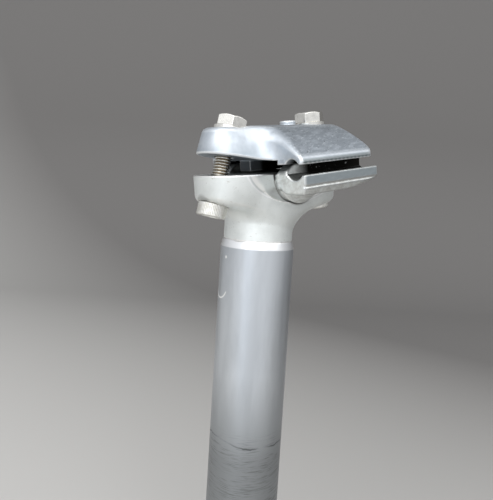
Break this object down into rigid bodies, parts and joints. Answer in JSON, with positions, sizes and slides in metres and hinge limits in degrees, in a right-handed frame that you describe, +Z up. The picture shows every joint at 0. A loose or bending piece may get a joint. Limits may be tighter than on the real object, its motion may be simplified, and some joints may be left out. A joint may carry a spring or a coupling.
{
  "type": "bicycle seatpost",
  "caption": "Short length of bicycle seatpost with a forged head and a cradle clamp for the two saddle rails, held by a bolt in front and one behind.",
  "frame": {"origin": "on the shaft's axis, 109 mm above its lower end, where the collar of a bicycle frame grips it", "axes": "+Z up the shaft to the saddle, +X to the rear of the bicycle, -Y the side nearest the camera of the picture"},
  "size_m": [0.062, 0.0532, 0.2339],
  "materials": {
    "shaft": "polished",
    "forged_head": "fine blasted satin",
    "lower_clamp": "satin",
    "upper_clamp": "polished, worn",
    "bolt_steel": "plated",
    "nut_steel": "zinc plated"
  },
  "bodies": {
    "root": {"shaft_tube": "shaft", "head": "forged_head", "lower_clamp": "lower_clamp", "upper_clamp": "upper_clamp", "front_bolt": "bolt_steel", "rear_bolt": "bolt_steel", "front_washer": "bolt_steel", "rear_washer": "bolt_steel", "front_nut": "nut_steel", "rear_nut": "nut_steel"}
  },
  "joints": []
}
